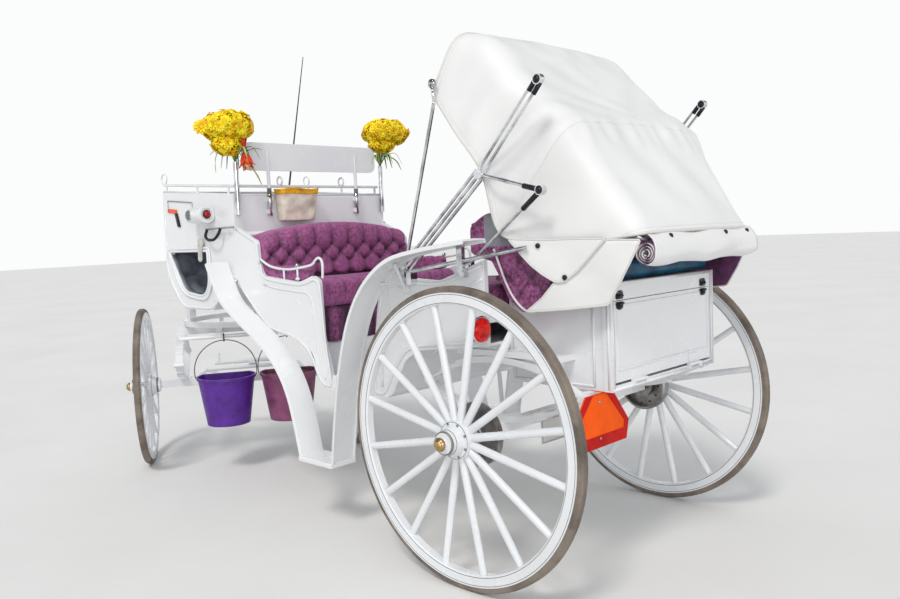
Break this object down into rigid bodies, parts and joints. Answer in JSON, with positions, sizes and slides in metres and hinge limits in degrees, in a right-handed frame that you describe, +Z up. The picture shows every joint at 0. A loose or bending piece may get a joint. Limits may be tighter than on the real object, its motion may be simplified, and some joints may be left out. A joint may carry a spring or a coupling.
{
  "type": "horse-drawn carriage",
  "caption": "White open horse-drawn carriage with facing buttoned seats, raised driver's box, half-raised hood, spoked wheels, turntable steering, shafts and a luggage box.",
  "frame": {"origin": "middle of the parked outline on the ground", "axes": "+X forward along the body, +Y to its left, +Z up; the fore-carriage is parked turned to the right"},
  "size_m": [5.4654, 2.3489, 2.5345],
  "materials": {
    "white_paint": "gloss white paint",
    "rubber": "weathered solid rubber",
    "velvet": "buttoned purple velvet",
    "hood_cloth": "coated white hood cloth",
    "bright_metal": "polished metal",
    "bare_steel": "worn steel",
    "bows": "dark painted hoops",
    "driver_vinyl": "blue-grey vinyl",
    "bucket_purple": "purple plastic",
    "bucket_mauve": "mauve plastic",
    "flowers": "yellow petals",
    "emblem_orange": "fluorescent orange with a red border",
    "lamp_red": "red lens",
    "bag_cloth": "pale woven cloth",
    "stick": "dark stick"
  },
  "bodies": {
    "carriage": {"arm_rails": "white_paint", "backrest_board": "white_paint", "bag": "bag_cloth", "bouquets": "flowers", "curtain_roll": "hood_cloth", "driver_box": "white_paint", "driver_seat": "driver_vinyl", "emblem": "emblem_orange", "entry_well": "white_paint", "fender_left": "white_paint", "fender_right": "white_paint", "frame_rails": "white_paint", "front_seat_arms": "velvet", "front_seat_back": "velvet", "front_seat_cushion": "velvet", "front_seat_shell": "white_paint", "hood_bows": "bows", "hood_cover": "hood_cloth", "hood_flaps": "hood_cloth", "hood_irons_left": "bright_metal", "hood_irons_right": "bright_metal", "kingpin_plate": "bare_steel", "number_plate": "white_paint", "rear_axle": "white_paint", "rear_beams": "white_paint", "rear_rails": "bright_metal", "rear_seat_back": "velvet", "rear_seat_cushion": "velvet", "rear_seat_shell": "white_paint", "rear_springs": "white_paint", "seat_rail": "white_paint", "side_fittings": "white_paint", "tail_lamps": "lamp_red", "trunk_box": "white_paint", "upper_turntable": "white_paint", "vases": "bright_metal", "whip": "stick", "whip_socket": "white_paint"},
    "trunk_door": {"trunk_door": "white_paint"},
    "fore_carriage": {"bucket_bails": "bare_steel", "bucket_left": "bucket_purple", "bucket_right": "bucket_mauve", "fore_frame": "white_paint", "front_axle": "white_paint", "front_spring_left": "white_paint", "front_spring_right": "white_paint", "lower_turntable": "white_paint"},
    "shafts": {"shafts": "white_paint", "singletree": "white_paint"},
    "wheel_rear_left": {"brake_rear_left": "bare_steel", "tyre_rear_left": "rubber", "wheel_rear_left": "white_paint"},
    "wheel_rear_right": {"brake_rear_right": "bare_steel", "tyre_rear_right": "rubber", "wheel_rear_right": "white_paint"},
    "wheel_front_left": {"tyre_front_left": "rubber", "wheel_front_left": "white_paint"},
    "wheel_front_right": {"tyre_front_right": "rubber", "wheel_front_right": "white_paint"}
  },
  "joints": [
    {"name": "steering", "type": "hinge", "parent": "carriage", "child": "fore_carriage", "pos_m": [0.6183, 0.3159, 0.85], "axis": [0, 0, 1], "range_deg": [-17.65, 82.35]},
    {"name": "shaft_pivot", "type": "hinge", "parent": "fore_carriage", "child": "shafts", "pos_m": [0.69856, 0.26507, 0.5065], "axis": [-0.5351, -0.8448, 0], "range_deg": [0, 50]},
    {"name": "trunk_door_hinge", "type": "hinge", "parent": "carriage", "child": "trunk_door", "pos_m": [-2.5307, 0.3159, 0.816], "axis": [0, -1, 0], "range_deg": [0, 90]},
    {"name": "spin_rear_left", "type": "hinge", "parent": "carriage", "child": "wheel_rear_left", "pos_m": [-2.0217, 1.0559, 0.61], "axis": [0, 1, 0], "continuous": true},
    {"name": "spin_rear_right", "type": "hinge", "parent": "carriage", "child": "wheel_rear_right", "pos_m": [-2.0217, -0.4241, 0.61], "axis": [0, 1, 0], "continuous": true},
    {"name": "spin_front_left", "type": "hinge", "parent": "fore_carriage", "child": "wheel_front_left", "pos_m": [0.98216, 0.89036, 0.5065], "axis": [0.5351, 0.8448, 0], "continuous": true},
    {"name": "spin_front_right", "type": "hinge", "parent": "fore_carriage", "child": "wheel_front_right", "pos_m": [0.25444, -0.25856, 0.5065], "axis": [0.5351, 0.8448, 0], "continuous": true}
  ]
}
